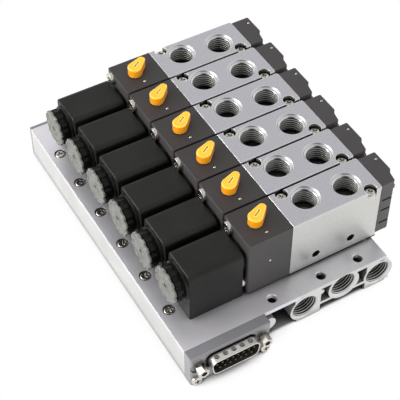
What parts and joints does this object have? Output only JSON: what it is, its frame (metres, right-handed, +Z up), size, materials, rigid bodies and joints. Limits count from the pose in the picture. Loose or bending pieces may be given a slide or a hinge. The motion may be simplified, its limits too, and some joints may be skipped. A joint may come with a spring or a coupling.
{
  "type": "pneumatic valve island",
  "caption": "Pneumatic valve island: solenoid spool valves in a row on an extruded manifold rail, with a junction box, screw-down bodies and a multi-pole connector.",
  "frame": {"origin": "on the mounting plane, under the joint between the pilot blocks and the valve bodies, half way along the row", "axes": "+X from the coil nuts to the end caps, +Y along the row away from the connector, +Z up out of the work ports"},
  "size_m": [0.123, 0.1767, 0.0589],
  "materials": {
    "body_aluminium": "milled and bead-blasted",
    "rail_aluminium": "extruded, natural anodised",
    "box_aluminium": "extruded, natural anodised",
    "cover_aluminium": "rolled plate, anodised",
    "block_paint": "gunmetal paint, satin",
    "pilot_plastic": "moulded, fine matt",
    "coil_plastic": "moulded, satin",
    "cap_plastic": "moulded, fine matt",
    "knob_plastic": "moulded, gloss",
    "nut_plastic": "moulded, satin",
    "seal_rubber": "nitrile",
    "nickel_steel": "nickel plated",
    "plated_shell": "tin plated",
    "connector_plastic": "moulded",
    "contact_gold": "gold plated",
    "spool_aluminium": "ground and hard anodised",
    "core_steel": "turned magnetic steel",
    "board_laminate": "glass laminate"
  },
  "bodies": {
    "island": {"valve_body_1": "body_aluminium", "valve_body_2": "body_aluminium", "valve_body_3": "body_aluminium", "valve_body_4": "body_aluminium", "valve_body_5": "body_aluminium", "valve_body_6": "body_aluminium", "pilot_block_1": "pilot_plastic", "pilot_block_2": "pilot_plastic", "pilot_block_3": "pilot_plastic", "pilot_block_4": "pilot_plastic", "pilot_block_5": "pilot_plastic", "pilot_block_6": "pilot_plastic", "coil_1": "coil_plastic", "coil_2": "coil_plastic", "coil_3": "coil_plastic", "coil_4": "coil_plastic", "coil_5": "coil_plastic", "coil_6": "coil_plastic", "end_cap_1": "cap_plastic", "end_cap_2": "cap_plastic", "end_cap_3": "cap_plastic", "end_cap_4": "cap_plastic", "end_cap_5": "cap_plastic", "end_cap_6": "cap_plastic", "manifold_rail": "rail_aluminium", "junction_box": "box_aluminium", "box_cover": "cover_aluminium", "circuit_board": "board_laminate", "connector_block": "block_paint", "end_plate": "block_paint", "d_sub_shell": "plated_shell", "d_sub_insert": "connector_plastic", "contact_pins": "contact_gold", "jackscrews": "nickel_steel", "panel_screws": "nickel_steel", "valve_seals": "seal_rubber", "coil_nuts": "nut_plastic", "armature_tubes": "core_steel", "body_screws": "nickel_steel", "end_screws": "nickel_steel", "passage_plugs": "nickel_steel", "springs": "core_steel"},
    "override_knob_1": {"override_knob_1": "knob_plastic"},
    "spool_1": {"spool_1": "spool_aluminium"},
    "plunger_1": {"plunger_1": "core_steel"},
    "override_knob_2": {"override_knob_2": "knob_plastic"},
    "spool_2": {"spool_2": "spool_aluminium"},
    "plunger_2": {"plunger_2": "core_steel"},
    "override_knob_3": {"override_knob_3": "knob_plastic"},
    "spool_3": {"spool_3": "spool_aluminium"},
    "plunger_3": {"plunger_3": "core_steel"},
    "override_knob_4": {"override_knob_4": "knob_plastic"},
    "spool_4": {"spool_4": "spool_aluminium"},
    "plunger_4": {"plunger_4": "core_steel"},
    "override_knob_5": {"override_knob_5": "knob_plastic"},
    "spool_5": {"spool_5": "spool_aluminium"},
    "plunger_5": {"plunger_5": "core_steel"},
    "override_knob_6": {"override_knob_6": "knob_plastic"},
    "spool_6": {"spool_6": "spool_aluminium"},
    "plunger_6": {"plunger_6": "core_steel"}
  },
  "joints": [
    {"name": "override_turn_1", "type": "hinge", "parent": "island", "child": "override_knob_1", "pos_m": [-0.0134, -0.0575, 0.054], "axis": [0, 0, 1], "range_deg": [0, 90]},
    {"name": "spool_shift_1", "type": "slide", "parent": "island", "child": "spool_1", "axis": [1, 0, 0], "range_m": [0, 0.004], "stiffness_N_per_m": 500, "springref_m": -0.006, "deforming": ["springs"]},
    {"name": "plunger_pull_1", "type": "slide", "parent": "island", "child": "plunger_1", "axis": [-1, 0, 0], "range_m": [0, 0.001], "stiffness_N_per_m": 250, "springref_m": -0.004, "deforming": ["springs"]},
    {"name": "override_turn_2", "type": "hinge", "parent": "island", "child": "override_knob_2", "pos_m": [-0.0134, -0.0345, 0.054], "axis": [0, 0, 1], "range_deg": [0, 90]},
    {"name": "spool_shift_2", "type": "slide", "parent": "island", "child": "spool_2", "axis": [1, 0, 0], "range_m": [0, 0.004], "stiffness_N_per_m": 500, "springref_m": -0.006, "deforming": ["springs"]},
    {"name": "plunger_pull_2", "type": "slide", "parent": "island", "child": "plunger_2", "axis": [-1, 0, 0], "range_m": [0, 0.001], "stiffness_N_per_m": 250, "springref_m": -0.004, "deforming": ["springs"]},
    {"name": "override_turn_3", "type": "hinge", "parent": "island", "child": "override_knob_3", "pos_m": [-0.0134, -0.0115, 0.054], "axis": [0, 0, 1], "range_deg": [0, 90]},
    {"name": "spool_shift_3", "type": "slide", "parent": "island", "child": "spool_3", "axis": [1, 0, 0], "range_m": [0, 0.004], "stiffness_N_per_m": 500, "springref_m": -0.006, "deforming": ["springs"]},
    {"name": "plunger_pull_3", "type": "slide", "parent": "island", "child": "plunger_3", "axis": [-1, 0, 0], "range_m": [0, 0.001], "stiffness_N_per_m": 250, "springref_m": -0.004, "deforming": ["springs"]},
    {"name": "override_turn_4", "type": "hinge", "parent": "island", "child": "override_knob_4", "pos_m": [-0.0134, 0.0115, 0.054], "axis": [0, 0, 1], "range_deg": [0, 90]},
    {"name": "spool_shift_4", "type": "slide", "parent": "island", "child": "spool_4", "axis": [1, 0, 0], "range_m": [0, 0.004], "stiffness_N_per_m": 500, "springref_m": -0.006, "deforming": ["springs"]},
    {"name": "plunger_pull_4", "type": "slide", "parent": "island", "child": "plunger_4", "axis": [-1, 0, 0], "range_m": [0, 0.001], "stiffness_N_per_m": 250, "springref_m": -0.004, "deforming": ["springs"]},
    {"name": "override_turn_5", "type": "hinge", "parent": "island", "child": "override_knob_5", "pos_m": [-0.0134, 0.0345, 0.054], "axis": [0, 0, 1], "range_deg": [0, 90]},
    {"name": "spool_shift_5", "type": "slide", "parent": "island", "child": "spool_5", "axis": [1, 0, 0], "range_m": [0, 0.004], "stiffness_N_per_m": 500, "springref_m": -0.006, "deforming": ["springs"]},
    {"name": "plunger_pull_5", "type": "slide", "parent": "island", "child": "plunger_5", "axis": [-1, 0, 0], "range_m": [0, 0.001], "stiffness_N_per_m": 250, "springref_m": -0.004, "deforming": ["springs"]},
    {"name": "override_turn_6", "type": "hinge", "parent": "island", "child": "override_knob_6", "pos_m": [-0.0134, 0.0575, 0.054], "axis": [0, 0, 1], "range_deg": [0, 90]},
    {"name": "spool_shift_6", "type": "slide", "parent": "island", "child": "spool_6", "axis": [1, 0, 0], "range_m": [0, 0.004], "stiffness_N_per_m": 500, "springref_m": -0.006, "deforming": ["springs"]},
    {"name": "plunger_pull_6", "type": "slide", "parent": "island", "child": "plunger_6", "axis": [-1, 0, 0], "range_m": [0, 0.001], "stiffness_N_per_m": 250, "springref_m": -0.004, "deforming": ["springs"]}
  ]
}
